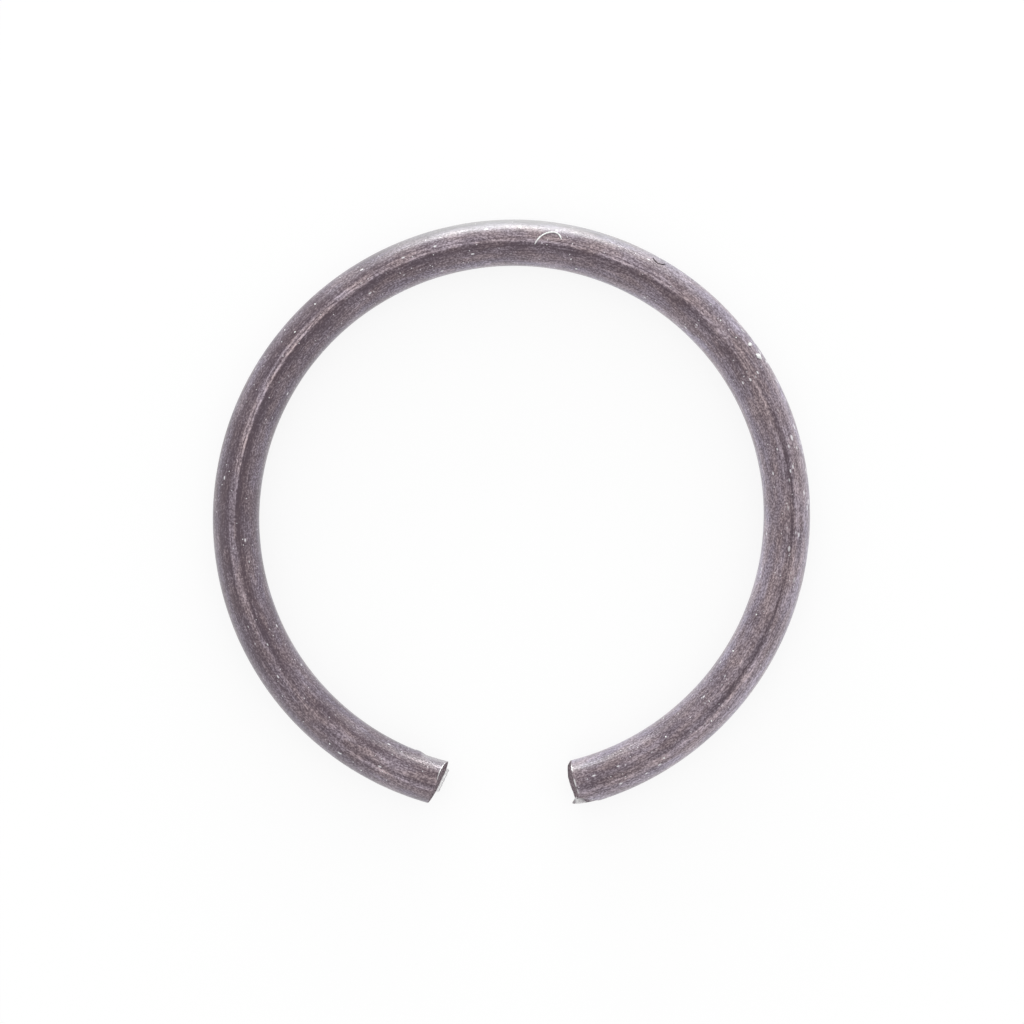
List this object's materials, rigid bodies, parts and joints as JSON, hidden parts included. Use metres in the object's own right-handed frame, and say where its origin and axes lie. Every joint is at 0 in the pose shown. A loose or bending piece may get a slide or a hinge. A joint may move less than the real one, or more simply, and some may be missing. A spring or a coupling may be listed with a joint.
{
  "type": "round-wire snap ring",
  "caption": "Open retaining ring bent from round steel wire, with a gap between two sheared ends. It springs over a shaft and sits in its groove.",
  "frame": {"origin": "on the ring's axis, halfway up the wire, which is the centre of the shaft groove it sits in", "axes": "+Z along the ring's axis, up as the ring lies; the gap between the ends faces -Y"},
  "size_m": [0.0128, 0.0126, 0.001],
  "materials": {
    "dark_steel": "drawn spring steel wire with a dark phosphated, lightly oiled surface, fine lines along the wire"
  },
  "bodies": {
    "root": {"snap_ring": "dark_steel"}
  },
  "joints": []
}
